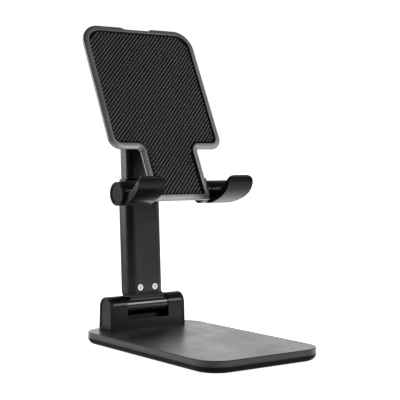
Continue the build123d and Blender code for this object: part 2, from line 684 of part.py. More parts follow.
def hook(side):
    x0, x1 = sorted((side * HOOK_INNER, side * HOOK_OUTER))
    widest = side * (HOOK_OUTER + HOOK_FLARE)
    strap = side_slab(hook_profile(), min(x0, widest), max(x1, widest))
    strap &= Pos(0, 0, -2 * BARREL_R) * extrude(hook_plan(side), 4 * BARREL_R)
    strap &= plate_slab(hook_front(side), -2 * HOOK_TIP_REACH, HOOK_TIP_REACH)
    barrel = x_rod(BARREL_R, x0, x1)
    barrel = fillet(barrel.edges().filter_by(GeomType.CIRCLE), HOOK_EDGE_R)
    body = strap + barrel
    body -= x_rod(HOOK_PIN_R + RUN_GAP, x0 - CUT_PAST, x1 + CUT_PAST)
    outer = side * HOOK_OUTER
    body -= x_rod(HOOK_BORE_R, outer - side * HOOK_BORE_DEPTH, outer + side * CUT_PAST)
    return PIVOT * body


def hook_cap(side):
    inner = side * (HOOK_OUTER + HOOK_CAP_GAP)
    outer = inner + side * HOOK_CAP_THICKNESS
    body = x_rod(BARREL_R, inner, outer)
    rim = body.edges().filter_by(GeomType.CIRCLE).sort_by(Axis.X)[-1 if side > 0 else 0]
    body = fillet(rim, HOOK_CAP_SINK)
    body -= x_rod(BARREL_R - HOOK_CAP_RIM, outer - side * HOOK_CAP_SINK, outer + side * CUT_PAST)
    stem_end = side * (HOOK_OUTER - HOOK_BORE_DEPTH + HOOK_PIN_HEAD + SEAT_GAP)
    body += x_rod(HOOK_BORE_R - SEAT_GAP, stem_end, inner + side * HOOK_CAP_SINK)
    return PIVOT * body


def hook_pin(side):
    """Shouldered pin from the ear to its head inside the hook's barrel."""
    seat = side * (HOOK_OUTER - HOOK_BORE_DEPTH)
    body = x_rod(HOOK_PIN_R, side * EAR_INNER, seat)
    body += x_rod(HOOK_PIN_HEAD_R, seat, seat + side * HOOK_PIN_HEAD)
    return body


def hook_washer(side):
    """Thin friction washer between the ear and the hook."""
    start = side * (EAR_INNER + EAR_THICKNESS)
    end = side * (HOOK_INNER - SEAT_GAP / 2)
    ring = x_rod(HOOK_WASHER_R, start, end)
    return ring - x_rod(HOOK_PIN_R + RUN_GAP, start - side, end + side)


# ---- every node ----
def build_parts():
    parts = {
        "base_cover": base_cover(),
        "base_tray": base_tray(),
        "base_weight": base_weight(),
        "base_mat": base_mat(),
        "base_screws": group(place * screw(BASE_SCREW_LENGTH) for place in base_screw_places()),
        "housing_screws": group(place * screw(HOUSING_SCREW_LENGTH) for place in housing_screw_places()),
        "hinge_housing": hinge_housing(),
        "hinge_pin": hinge_pin(),
        "hinge_springs": hinge_springs(),
        "hinge_nut": hinge_nut(),
        "hinge_knuckle": hinge_knuckle(),
        "outer_tube": outer_tube(),
        "arm_screws": group(TUBE * place * screw(ARM_SCREW_LENGTH) for place in arm_screw_places()),
        "tube_collar": tube_collar(),
        "tube_guide": tube_guide(),
        "inner_tube": inner_tube(),
        "slider_foot": slider_foot(),
        "slider_spring": slider_spring(),
        "tilt_knuckle": tilt_knuckle(),
        "cross_pin": cross_pin(),
        "plate_frame": plate_frame(),
        "plate_shell": plate_shell(),
        "plate_pad": plate_pad(),
        "plate_bracket": plate_bracket(),
        "bracket_screws": group(PLATE * place * screw(BRACKET_SCREW_LENGTH)
                                for place in bracket_screw_places()),
        "tilt_pin": tilt_pin(),
        "tilt_washer": tilt_washer(),
        "tilt_nut": tilt_nut(),
        "hook_pins": group(PIVOT * hook_pin(side) for side in SIDES.values()),
        "hook_washers": group(PIVOT * hook_washer(side) for side in SIDES.values()),
    }
    for name, side in SIDES.items():
        parts["hinge_cap_" + name] = hinge_cap(side)
        parts["hook_" + name] = hook(side)
        parts["hook_cap_" + name] = hook_cap(side)
    return parts


os.makedirs("parts", exist_ok=True)
for node, shape in build_parts().items():
    export_step(shape, "parts/" + node + ".step")
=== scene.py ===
import json
from math import cos, pi, radians, sin

import bmesh
import bpy
from bpy.props import FloatProperty, FloatVectorProperty, IntProperty, PointerProperty
from mathutils import Matrix, Vector


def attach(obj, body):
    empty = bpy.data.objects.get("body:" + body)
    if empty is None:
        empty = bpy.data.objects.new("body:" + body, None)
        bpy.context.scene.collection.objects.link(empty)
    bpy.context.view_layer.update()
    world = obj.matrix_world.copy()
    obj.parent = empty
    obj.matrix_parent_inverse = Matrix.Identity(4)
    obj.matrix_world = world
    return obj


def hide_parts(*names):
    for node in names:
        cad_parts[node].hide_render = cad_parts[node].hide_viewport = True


bl_info = {
    "name": "Phone Stand Looks",
    "version": (1, 0, 0),
    "blender": (4, 5, 0),
    "location": "View3D > Sidebar > Phone Stand",
    "description": "Builds the finished surfaces of a folding phone stand around its CAD frame",
    "category": "Object",
}

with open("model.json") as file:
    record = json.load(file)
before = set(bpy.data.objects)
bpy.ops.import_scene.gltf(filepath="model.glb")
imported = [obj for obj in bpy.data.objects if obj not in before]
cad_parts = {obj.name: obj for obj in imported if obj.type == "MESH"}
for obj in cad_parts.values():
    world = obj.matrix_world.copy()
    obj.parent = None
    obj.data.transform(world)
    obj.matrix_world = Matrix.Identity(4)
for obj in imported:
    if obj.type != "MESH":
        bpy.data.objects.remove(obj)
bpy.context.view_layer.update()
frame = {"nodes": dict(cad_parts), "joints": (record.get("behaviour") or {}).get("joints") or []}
NODES = frame["nodes"]
JOINTS = {joint["name"]: joint for joint in frame["joints"]}

# ---- lengths and angles that the frame doesn't give; lengths in metres ----
MM = 0.001
ARM_LEAN = radians(3.0)
PLATE_LEAN = radians(25.9)
HUB_BEHIND = 12.74 * MM
HUB_UP_PLATE = 84.21 * MM
ROUND_STEPS = 10

# the plate's T outline
PLATE_HALF_WIDTH = 37.65 * MM
NECK_HALF_WIDTH = 19.0 * MM
SHOULDER_HEIGHT = 31.3 * MM
PLATE_HEIGHT = 108.5 * MM
TOP_CORNER_R = 11.5 * MM
LOW_CORNER_R = 7.3 * MM
INNER_CORNER_R = 2.0 * MM
FOOT_CORNER_R = 1.2 * MM
FOOT_CORNER_LEAST_R = 0.4 * MM

# the pad, its depths measured back from the front of the rim
PAD_EDGE = 3.55 * MM
PAD_FACE_DEPTH = 1.03 * MM
PAD_BACK_DEPTH = 1.7 * MM
PAD_CHAMFER = 0.25 * MM
PAD_CHAMFER_MIDDLE = 0.3
BUMP_MARGIN = 0.75 * MM
BUMP_FIELD_SIDE = 130 * MM
BUMP_FIELD_HEIGHT = 55 * MM
BUMP_PROBE_LIFT = 10 * MM
BUMP_PROBE_LENGTH = 20 * MM
BUMP_GRID = 5
BUMP_SQUARENESS = 3.4
BUMP_FACES_LEAST = 1000

# the screws at the foot of the arm
SCREW_HALF_SPACING = 5.0 * MM
SCREW_HEIGHT = 10.4 * MM
SCREW_FRONT = 5.9 * MM

# small roundings that differ from the usual one
HINGE_CAP_SOFTNESS = 0.15 * MM
TUBE_SOFTNESS = 0.15 * MM
RIM_SOFTNESS = 0.12 * MM
HOOK_SOFTNESS = 0.4 * MM
HOOK_CAP_SOFTNESS = 0.15 * MM
SOFT_STEPS = 3
SOFT_EDGE_ANGLE = radians(50)
SHARP_EDGE_ANGLE = radians(32)
FLAT_ANGLE = radians(0.05)
WELD_DISTANCE = 0.0005 * MM
FLAT_FACE_WEIGHT = 100

# the stage
STAND_MIDDLE = Vector((0, 0.02, 0.09))
FOOTPRINT_HALF_WIDTH = 38.0 * MM
FOOTPRINT_HALF_LENGTH = 61.6 * MM
FLOOR_REACH = 6.0
FLOOR_GLOW_CENTRE = (0.07, -0.05, 0)
FLOOR_GLOW_SPAN = (0.12, 0.34)
FLOOR_GLOW = (2.3, 0.30)
UNDER_EDGE_SPAN = (0.0, 0.030)
UNDER_EDGE_SHADE = (0.15, 1.0)
SEEN_FLOOR_GLOW = 0.97
SEEN_WORLD_GLOW = 1.05
CAMERA_PLACE = Vector((-0.36200, -0.48962, 0.10881))
CAMERA_AZIMUTH = radians(-36.57)
CAMERA_ELEVATION = radians(2.51)
CAMERA_ROLL = radians(0.18)
CAMERA_LENS = 101.68
CAMERA_SENSOR = 36.0
CAMERA_NEAR = 0.01

HINGE = Vector(JOINTS["arm_fold"]["pos_m"])
HUB = Vector(JOINTS["plate_tilt"]["pos_m"])
ARM = Matrix.Translation(HINGE) @ Matrix.Rotation(-ARM_LEAN, 4, "X")
PLATE = (Matrix.Translation(HUB) @ Matrix.Rotation(-PLATE_LEAN, 4, "X")
         @ Matrix.Translation((0, -HUB_BEHIND, -HUB_UP_PLATE)))
# x across, y up the plate, z out of its front
PLATE_FACE = PLATE @ Matrix.Rotation(radians(90), 4, "X")


# ---- settings ----
class StandSizes(bpy.types.PropertyGroup):
    """Sizes of the surface detail."""
    bump_pitch: FloatProperty(
        name="Bump pitch", description="Distance between neighbours along a diagonal row",
        default=1.733 * MM, unit="LENGTH", precision=5)
    bump_side: FloatProperty(
        name="Bump side", description="Side of one square pad bump",
        default=1.18 * MM, unit="LENGTH", precision=5)
    bump_height: FloatProperty(
        name="Bump height", description="Height of one pad bump above the pad sheet",
        default=0.60 * MM, unit="LENGTH", precision=5)
    edge_softness: FloatProperty(
        name="Edge softness", description="Width of the small rounding on moulded edges",
        default=0.25 * MM, unit="LENGTH", precision=5)
    screw_seed: IntProperty(
        name="Screw seed", description="Seed for how far each screw is turned", default=4)


class StandColours(bpy.types.PropertyGroup):
    """Colours of the finishes."""
    plastic: FloatVectorProperty(
        name="Satin plastic", description="Colour of the moulded black plastic",
        default=(0.0035, 0.0035, 0.0038), subtype="COLOR")
    base: FloatVectorProperty(
        name="Base top", description="Colour of the soft-touch base cover",
        default=(0.005, 0.005, 0.0053), subtype="COLOR")
    gloss: FloatVectorProperty(
        name="Gloss plastic", description="Colour of the knuckle, the collar and the pad's sheet",
        default=(0.0015, 0.0015, 0.0015), subtype="COLOR")
    tube: FloatVectorProperty(
        name="Tube coating", description="Colour of the textured coating on the tubes",
        default=(0.0018, 0.0018, 0.0019), subtype="COLOR")
    rim: FloatVectorProperty(
        name="Plate rim", description="Colour of the satin frame round the pad",
        default=(0.23, 0.23, 0.235), subtype="COLOR")
    mat: FloatVectorProperty(
        name="Desk mat", description="Colour of the rubber mat under the base",
        default=(0.004, 0.004, 0.004), subtype="COLOR")
    # painted highlight: the bumps' colour is far lighter than the pad sheet's, so the sheen on the
    # bump tops is painted into their colour
    bump: FloatVectorProperty(
        name="Pad bumps", description="Colour of the highlit tops of the pad's bumps",
        default=(0.085, 0.085, 0.087), subtype="COLOR")
    steel: FloatVectorProperty(
        name="Plated steel", description="Colour of screws, pins and nuts",
        default=(0.78, 0.78, 0.79), subtype="COLOR")
    ballast: FloatVectorProperty(
        name="Ballast", description="Colour of the bare steel weight in the base",
        default=(0.35, 0.34, 0.33), subtype="COLOR")
    floor: FloatVectorProperty(
        name="Floor", description="Colour of the pale studio floor",
        default=(0.85, 0.85, 0.85), subtype="COLOR")


def sizes():
    """The stand's size settings."""
    return bpy.context.scene.phone_stand_sizes


def colours():
    """The stand's colour settings."""
    return bpy.context.scene.phone_stand_colours


# ---- materials ----
def new_material(name):
    """An empty node material and its node tree."""
    material = bpy.data.materials.new(name)
    material.use_nodes = True
    material.node_tree.nodes.clear()
    return material, material.node_tree


def add(tree, kind, inputs=None, **settings):
    """One shader or geometry node with its settings and unlinked input values."""
    node = tree.nodes.new(kind)
    for key, value in settings.items():
        setattr(node, key, value)
    for key, value in (inputs or {}).items():
        node.inputs[key].default_value = value
    return node


def chain(tree, *pairs):
    """Link output sockets to input sockets."""
    for source, target in pairs:
        tree.links.new(source, target)


def surface_finish(name, colour, roughness, spread, grain_scale, grain_depth, specular,
                   stretch=(1, 1, 1), mottling=0.25, metallic=0.0):
    """A moulded, coated or metal surface: fine grain, slow drift in colour and gloss."""
    material, tree = new_material(name)
    out = add(tree, "ShaderNodeOutputMaterial")
    surface = add(tree, "ShaderNodeBsdfPrincipled",
                  {"Specular IOR Level": specular, "Metallic": metallic})
    place = add(tree, "ShaderNodeTexCoord")
    mapping = add(tree, "ShaderNodeMapping", {"Scale": stretch})
    grain = add(tree, "ShaderNodeTexNoise",
                {"Scale": grain_scale, "Detail": 4.0, "Roughness": 0.6})
    drift = add(tree, "ShaderNodeTexNoise", {"Scale": 60.0, "Detail": 3.0, "Roughness": 0.55})
    rough = add(tree, "ShaderNodeMapRange",
                {"From Min": 0.3, "From Max": 0.7, "To Min": roughness - spread,
                 "To Max": roughness + spread})
    fine_rough = add(tree, "ShaderNodeMath", {1: spread}, operation="MULTIPLY_ADD")
    tint = add(tree, "ShaderNodeMix", data_type="RGBA")
    dark = [c * (1 - mottling) for c in colour]
    light = [c * (1 + mottling) for c in colour]
    tint.inputs["A"].default_value = (*dark, 1)
    tint.inputs["B"].default_value = (*light, 1)
    bump = add(tree, "ShaderNodeBump", {"Strength": 1.0, "Distance": grain_depth})
    chain(tree,
          (place.outputs["Object"], mapping.inputs["Vector"]),
          (mapping.outputs["Vector"], grain.inputs["Vector"]),
          (mapping.outputs["Vector"], drift.inputs["Vector"]),
          (drift.outputs["Fac"], rough.inputs["Value"]),
          (grain.outputs["Fac"], fine_rough.inputs[0]),
          (rough.outputs["Result"], fine_rough.inputs[2]),
          (fine_rough.outputs["Value"], surface.inputs["Roughness"]),
          (drift.outputs["Fac"], tint.inputs["Factor"]),
          (tint.outputs["Result"], surface.inputs["Base Color"]),
          (grain.outputs["Fac"], bump.inputs["Height"]),
          (bump.outputs["Normal"], surface.inputs["Normal"]),
          (surface.outputs["BSDF"], out.inputs["Surface"]))
    return material


def build_materials():
    """Make every finish of the stand."""
    paint = colours()
    surface_finish("base_top", paint.base, roughness=0.33, spread=0.04, grain_scale=5200,
                   grain_depth=0.010 * MM, specular=0.5)
    surface_finish("base_side", paint.plastic, roughness=0.36, spread=0.05, grain_scale=900,
                   grain_depth=0.012 * MM, specular=0.15, stretch=(1, 1, 9))
    surface_finish("satin", paint.plastic, roughness=0.22, spread=0.03, grain_scale=4200,
                   grain_depth=0.006 * MM, specular=0.24)
    surface_finish("cap_matte", paint.plastic, roughness=0.50, spread=0.05, grain_scale=4200,
                   grain_depth=0.012 * MM, specular=0.26)
    surface_finish("hook_satin", paint.plastic, roughness=0.22, spread=0.03, grain_scale=4200,
                   grain_depth=0.006 * MM, specular=0.12)
    surface_finish("gloss", paint.gloss, roughness=0.10, spread=0.03, grain_scale=700,
                   grain_depth=0.002 * MM, specular=0.5)
    surface_finish("coating", paint.tube, roughness=0.24, spread=0.03, grain_scale=3000,
                   grain_depth=0.018 * MM, specular=0.5)
    surface_finish("rim", paint.rim, roughness=0.46, spread=0.05, grain_scale=4200,
                   grain_depth=0.010 * MM, specular=0.5, metallic=1.0)
    # painted highlight: the pad's bumps take this lighter colour and more gloss than the sheet
    # between them
    surface_finish("pad", paint.bump, roughness=0.38, spread=0.05, grain_scale=3500,
                   grain_depth=0.006 * MM, specular=0.7)
    # painted shade: the sheet between the bumps is the same rubber, given a near-black colour and
    # little gloss so the grooves look dark
    surface_finish("pad_painted_groove_shade", paint.gloss, roughness=0.60, spread=0.05, grain_scale=3500,
                   grain_depth=0.006 * MM, specular=0.1)
    surface_finish("mat", paint.mat, roughness=0.75, spread=0.08, grain_scale=2500,
                   grain_depth=0.020 * MM, specular=0.4)
    surface_finish("nylon", paint.plastic, roughness=0.55, spread=0.06, grain_scale=2500,
                   grain_depth=0.010 * MM, specular=0.4)
    surface_finish("steel", paint.steel, roughness=0.24, spread=0.06, grain_scale=1800,
                   grain_depth=0.004 * MM, specular=0.5, mottling=0.08, metallic=1.0)
    surface_finish("ballast", paint.ballast, roughness=0.42, spread=0.10, grain_scale=900,
                   grain_depth=0.010 * MM, specular=0.5, stretch=(1, 12, 1), metallic=1.0)


def finish(name):
    """The material of that name; the first call makes them all."""
    if name not in bpy.data.materials:
        build_materials()
    return bpy.data.materials[name]


# ---- mesh helpers ----
def plain_mesh(name, corners, faces):
    """A mesh from corner points and faces."""
    mesh = bpy.data.meshes.new(name)
    mesh.from_pydata(corners, [], faces)
    mesh.update()
    return mesh


def new_piece(name, mesh, material):
    """A plain object at the origin that holds the mesh and one finish."""
    piece = bpy.data.objects.new(name, mesh)
    bpy.context.scene.collection.objects.link(piece)
    mesh.materials.clear()
    mesh.materials.append(finish(material))
    return piece


def baked(piece):
    """Replace a piece's mesh by its evaluated one and drop the modifiers."""
    graph = bpy.context.evaluated_depsgraph_get()
    graph.update()
    mesh = bpy.data.meshes.new_from_object(piece.evaluated_get(graph))
    piece.modifiers.clear()
    piece.data = mesh
    return piece


def place(piece, body, slot, *nodes):
    """Fix a finished piece to its body and hide the nodes it stands for; its record slot is not
    used.
    """
    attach(piece, body)
    if nodes:
        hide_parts(*nodes)
    return piece


def merged_copy(node):
    """The node's mesh as one connected skin."""
    work = bmesh.new()
    work.from_mesh(NODES[node].data)
    bmesh.ops.remove_doubles(work, verts=work.verts, dist=WELD_DISTANCE)
    bmesh.ops.dissolve_limit(work, angle_limit=FLAT_ANGLE, verts=work.verts, edges=work.edges)
    mesh = bpy.data.meshes.new(node + "_skin")
    work.to_mesh(mesh)
    work.free()
    return mesh


def softened(node, material, body, slot, softness=None):
    """The node's own shape, smoothly shaded, with small rounded edges unless softness is 0."""
    mesh = merged_copy(node)
    mesh.shade_smooth()
    mesh.set_sharp_from_angle(angle=SHARP_EDGE_ANGLE)
    piece = new_piece(node + "_skin", mesh, material)
    if softness is None:
        softness = sizes().edge_softness
    if softness:
        soften = piece.modifiers.new("soft_edges", "BEVEL")
        soften.width = softness
        soften.segments = SOFT_STEPS
        soften.limit_method = "ANGLE"
        soften.angle_limit = SOFT_EDGE_ANGLE
        soften.use_clamp_overlap = True
        soften.harden_normals = False
    even = piece.modifiers.new("even_shading", "WEIGHTED_NORMAL")
    even.keep_sharp = True
    even.weight = FLAT_FACE_WEIGHT
    baked(piece)
    return place(piece, body, slot, node)


# ---- geometry nodes ----
def new_group(name, sockets):
    """An empty geometry node tree with its inputs: name, socket type and default."""
    tree = bpy.data.node_groups.new(name, "GeometryNodeTree")
    tree.interface.new_socket("Geometry", in_out="INPUT", socket_type="NodeSocketGeometry")
    for label, kind, default in sockets:
        socket = tree.interface.new_socket(label, in_out="INPUT", socket_type="NodeSocket" + kind)
        if default is not None:
            socket.default_value = default
    tree.interface.new_socket("Geometry", in_out="OUTPUT", socket_type="NodeSocketGeometry")
    return tree, add(tree, "NodeGroupInput"), add(tree, "NodeGroupOutput")


def grow(piece, tree, values, matrix):
    """Run a node tree on a piece, keep the result as plain mesh and move it into place."""
    modifier = piece.modifiers.new(tree.name, "NODES")
    modifier.node_group = tree
    by_name = {item.name: item.identifier for item in tree.interface.items_tree
               if item.in_out == "INPUT"}
    for label, value in values.items():
        modifier[by_name[label]] = value
    baked(piece)
    piece.data.transform(matrix)
    return piece


def math_node(tree, operation, first, second):
    """A maths node whose operands are sockets or numbers."""
    node = add(tree, "ShaderNodeMath", operation=operation)
    for slot_index, operand in enumerate((first, second)):
        if isinstance(operand, (int, float)):
            node.inputs[slot_index].default_value = operand
        else:
            tree.links.new(operand, node.inputs[slot_index])
    return node.outputs["Value"]


def bump_tree():
    """Rows of small square pillows on the diagonal, kept where the input face lies under them."""
    tree, given, out = new_group("pad_bumps", [
        ("Pitch", "Float", sizes().bump_pitch), ("Side", "Float", sizes().bump_side),
        ("Height", "Float", sizes().bump_height), ("Reach", "Float", BUMP_FIELD_SIDE),
        ("Finish", "Material", None)])
    count = math_node(tree, "ROUND", math_node(tree, "DIVIDE", given.outputs["Reach"],
                                               given.outputs["Pitch"]), 0)
    span = math_node(tree, "MULTIPLY", math_node(tree, "SUBTRACT", count, 1),
                     given.outputs["Pitch"])
    field = add(tree, "GeometryNodeMeshGrid")
    turned = add(tree, "GeometryNodeTransform", {"Rotation": (0, 0, pi / 4),
                                                 "Translation": (0, BUMP_FIELD_HEIGHT, 0)})
    place_at = add(tree, "GeometryNodeInputPosition")
    lifted = add(tree, "ShaderNodeVectorMath", {1: (0, 0, BUMP_PROBE_LIFT)}, operation="ADD")
    ray = add(tree, "GeometryNodeRaycast",
              {"Ray Direction": (0, 0, -1), "Ray Length": BUMP_PROBE_LENGTH})
    spots = add(tree, "GeometryNodeMeshToPoints")
    pillow = add(tree, "GeometryNodeMeshGrid",
                 {"Vertices X": BUMP_GRID, "Vertices Y": BUMP_GRID})
    local = add(tree, "GeometryNodeInputPosition")
    axes = add(tree, "ShaderNodeSeparateXYZ")
    falls = []
    for axis in ("X", "Y"):
        half_side = math_node(tree, "MULTIPLY", given.outputs["Side"], 0.5)
        share = math_node(tree, "DIVIDE", axes.outputs[axis], half_side)
        distance = math_node(tree, "ABSOLUTE", share, 0)
        drop = math_node(tree, "POWER", distance, BUMP_SQUARENESS)
        falls.append(math_node(tree, "SUBTRACT", 1, drop))
    rise = math_node(tree, "MULTIPLY", math_node(tree, "MULTIPLY", falls[0], falls[1]),
                     given.outputs["Height"])
    raised = add(tree, "ShaderNodeCombineXYZ")
    shaped = add(tree, "GeometryNodeSetPosition")
    smooth = add(tree, "GeometryNodeSetShadeSmooth")
    placed = add(tree, "GeometryNodeInstanceOnPoints", {"Rotation": (0, 0, pi / 4)})
    real = add(tree, "GeometryNodeRealizeInstances")
    finished = add(tree, "GeometryNodeSetMaterial")
    chain(tree,
          (count, field.inputs["Vertices X"]), (count, field.inputs["Vertices Y"]),
          (span, field.inputs["Size X"]), (span, field.inputs["Size Y"]),
          (field.outputs["Mesh"], turned.inputs["Geometry"]),
          (turned.outputs["Geometry"], spots.inputs["Mesh"]),
          (place_at.outputs["Position"], lifted.inputs[0]),
          (lifted.outputs["Vector"], ray.inputs["Source Position"]),
          (given.outputs["Geometry"], ray.inputs["Target Geometry"]),
          (ray.outputs["Is Hit"], spots.inputs["Selection"]),
          (given.outputs["Side"], pillow.inputs["Size X"]),
          (given.outputs["Side"], pillow.inputs["Size Y"]),
          (local.outputs["Position"], axes.inputs["Vector"]),
          (rise, raised.inputs["Z"]),
          (pillow.outputs["Mesh"], shaped.inputs["Geometry"]),
          (raised.outputs["Vector"], shaped.inputs["Offset"]),
          (shaped.outputs["Geometry"], smooth.inputs["Geometry"]),
          (spots.outputs["Points"], placed.inputs["Points"]),
          (smooth.outputs["Geometry"], placed.inputs["Instance"]),
          (placed.outputs["Instances"], real.inputs["Geometry"]),
          (real.outputs["Geometry"], finished.inputs["Geometry"]),
          (given.outputs["Finish"], finished.inputs["Material"]),
          (finished.outputs["Geometry"], out.inputs["Geometry"]))
    return tree


def fastener_tree():
    """One copy of a screw at every input point, each turned by a random amount."""
    tree, given, out = new_group("fastener_row", [
        ("Screw", "Object", None), ("Turn", "Float", pi), ("Seed", "Int", 4),
        ("Finish", "Material", None)])
    source = add(tree, "GeometryNodeObjectInfo")
    spots = add(tree, "GeometryNodeMeshToPoints")
    turn = add(tree, "FunctionNodeRandomValue", data_type="FLOAT")
    spin = add(tree, "ShaderNodeCombineXYZ")
    placed = add(tree, "GeometryNodeInstanceOnPoints")
    real = add(tree, "GeometryNodeRealizeInstances")
    finished = add(tree, "GeometryNodeSetMaterial")
    turn_sockets = [socket for socket in turn.inputs if socket.enabled]
    low, high = turn_sockets[0], turn_sockets[1]
    low.default_value = 0.0
    chain(tree,
          (given.outputs["Screw"], source.inputs["Object"]),
          (given.outputs["Geometry"], spots.inputs["Mesh"]),
          (given.outputs["Turn"], high),
          (given.outputs["Seed"], turn.inputs["Seed"]),
          (turn.outputs[1], spin.inputs["Z"]),
          (spots.outputs["Points"], placed.inputs["Points"]),
          (source.outputs["Geometry"], placed.inputs["Instance"]),
          (spin.outputs["Vector"], placed.inputs["Rotation"]),
          (placed.outputs["Instances"], real.inputs["Geometry"]),
          (real.outputs["Geometry"], finished.inputs["Geometry"]),
          (given.outputs["Finish"], finished.inputs["Material"]),
          (finished.outputs["Geometry"], out.inputs["Geometry"]))
    return tree


# ---- outlines, in metres ----
def arc(cx, cy, radius, start, end, steps):
    """Points on an arc from start to end degrees, both ends included."""
    return [(cx + radius * cos(radians(start + (end - start) * i / steps)),
             cy + radius * sin(radians(start + (end - start) * i / steps)))
            for i in range(steps + 1)]


def tee_outline(inset):
    """The plate's T outline drawn in by inset, anticlockwise from its foot."""
    half = PLATE_HALF_WIDTH - inset
    neck = NECK_HALF_WIDTH - inset
    low = inset
    shoulder = SHOULDER_HEIGHT + inset
    top = PLATE_HEIGHT - inset
    top_r = TOP_CORNER_R - inset
    low_r = LOW_CORNER_R - inset
    inner_r = INNER_CORNER_R + inset
    foot_r = max(FOOT_CORNER_R - inset, FOOT_CORNER_LEAST_R)
    right = arc(neck - foot_r, low + foot_r, foot_r, -90, 0, ROUND_STEPS // 2)
    right += arc(neck + inner_r, shoulder - inner_r, inner_r, 180, 90, ROUND_STEPS)
    right += arc(half - low_r, shoulder + low_r, low_r, -90, 0, ROUND_STEPS)
    right += arc(half - top_r, top - top_r, top_r, 0, 90, ROUND_STEPS)
    return right + [(-x, y) for x, y in reversed(right)]


def stack(rings):
    """A closed skin through equal rings of (x, y, z) points, its two ends capped."""
    work = bmesh.new()
    loops = [[work.verts.new(point) for point in ring] for ring in rings]
    for lower, upper in zip(loops, loops[1:]):
        for i in range(len(lower)):
            k = (i + 1) % len(lower)
            work.faces.new((lower[i], lower[k], upper[k], upper[i]))
    work.faces.new(list(reversed(loops[0])))
    work.faces.new(loops[-1])
    bmesh.ops.recalc_face_normals(work, faces=work.faces)
    mesh = bpy.data.meshes.new("stack")
    work.to_mesh(mesh)
    work.free()
    return mesh


HIDDEN = {
    "base_weight": "ballast", "base_screws": "steel", "housing_screws": "steel",
    "hinge_pin": "steel", "hinge_springs": "steel", "hinge_nut": "steel",
    "tube_guide": "nylon", "slider_foot": "nylon", "slider_spring": "steel",
    "cross_pin": "steel", "bracket_screws": "steel", "tilt_pin": "steel",
    "tilt_washer": "steel", "tilt_nut": "steel", "hook_pins": "steel",
    "hook_washers": "nylon", "base_mat": "mat",
}


class STAND_OT_inner_parts(bpy.types.Operator):
    """Give the pins, nuts, springs, weight and guides their finishes"""
    bl_idname = "phone_stand.inner_parts"
    bl_label = "Inner Parts"

    def execute(self, context):
        for node, material in HIDDEN.items():
            mesh = NODES[node].data
            mesh.materials.clear()
            mesh.materials.append(finish(material))
        return {"FINISHED"}


class STAND_OT_base(bpy.types.Operator):
    """Build the base cover and tray"""
    bl_idname = "phone_stand.base"
    bl_label = "Base"

    def execute(self, context):
        softened("base_cover", "base_top", "base", "soft_touch_black", softness=0)
        softened("base_tray", "base_side", "base", "satin_black", softness=0)
        return {"FINISHED"}


class STAND_OT_hinge(bpy.types.Operator):
    """Build the hinge housing, its end caps and the knuckle"""
    bl_idname = "phone_stand.hinge"
    bl_label = "Hinge"

    def execute(self, context):
        softened("hinge_housing", "satin", "base", "satin_black")
        for side in ("left", "right"):
            softened("hinge_cap_" + side, "cap_matte", "base", "gloss_black", HINGE_CAP_SOFTNESS)
        softened("hinge_knuckle", "gloss", "arm", "gloss_black")
        return {"FINISHED"}


class STAND_OT_arm(bpy.types.Operator):
    """Build the outer tube, collar, inner tube and tilt knuckle"""
    bl_idname = "phone_stand.arm"
    bl_label = "Arm"

    def execute(self, context):
        softened("outer_tube", "coating", "arm", "tube_paint", TUBE_SOFTNESS)
        softened("tube_collar", "gloss", "arm", "gloss_black", softness=0)
        softened("inner_tube", "coating", "mast", "tube_paint", TUBE_SOFTNESS)
        softened("tilt_knuckle", "satin", "mast", "satin_black")
        return {"FINISHED"}


class STAND_OT_plate(bpy.types.Operator):
    """Build the plate's frame, back shell and bracket"""
    bl_idname = "phone_stand.plate"
    bl_label = "Plate"

    def execute(self, context):
        softened("plate_frame", "rim", "rest", "frame_grey", RIM_SOFTNESS)
        softened("plate_shell", "satin", "rest", "satin_black", softness=0)
        softened("plate_bracket", "satin", "rest", "satin_black")
        return {"FINISHED"}


class STAND_OT_pad(bpy.types.Operator):
    """Build the rubber pad: a thin sheet and its rows of small bumps"""
    bl_idname = "phone_stand.pad"
    bl_label = "Bumped Pad"

    def execute(self, context):
        step = PAD_CHAMFER_MIDDLE * PAD_CHAMFER
        profile = ((0, PAD_BACK_DEPTH), (0, PAD_FACE_DEPTH + PAD_CHAMFER),
                   (step, PAD_FACE_DEPTH + step), (PAD_CHAMFER, PAD_FACE_DEPTH))
        rings = [[(x, y, -depth) for x, y in tee_outline(PAD_EDGE + inset)]
                 for inset, depth in profile]
        # the sheet carries the painted groove shade between the bumps
        sheet = new_piece("pad_sheet", stack(rings), "pad_painted_groove_shade")
        sheet.data.transform(PLATE_FACE)
        place(sheet, "rest", "pad_rubber", "plate_pad")
        outline = [(x, y, -PAD_FACE_DEPTH) for x, y in tee_outline(PAD_EDGE + BUMP_MARGIN)]
        field = plain_mesh("bump_field", outline, [tuple(range(len(outline)))])
        bumps = new_piece("pad_bumps", field, "pad")
        tree = bump_tree()
        grow(bumps, tree, {"Finish": finish("pad")},
             PLATE_FACE @ Matrix.Translation((0, 0, -PAD_FACE_DEPTH)))
        if len(bumps.data.polygons) < BUMP_FACES_LEAST:
            raise RuntimeError("the pad's bumps were not made")
        place(bumps, "rest", "pad_rubber")
        return {"FINISHED"}


class STAND_OT_hooks(bpy.types.Operator):
    """Build both phone hooks and their end caps"""
    bl_idname = "phone_stand.hooks"
    bl_label = "Hooks"

    def execute(self, context):
        for side in ("left", "right"):
            body = side + "_hook"
            softened("hook_" + side, "hook_satin", body, "satin_black", HOOK_SOFTNESS)
            softened("hook_cap_" + side, "cap_matte", body, "satin_black", HOOK_CAP_SOFTNESS)
        return {"FINISHED"}


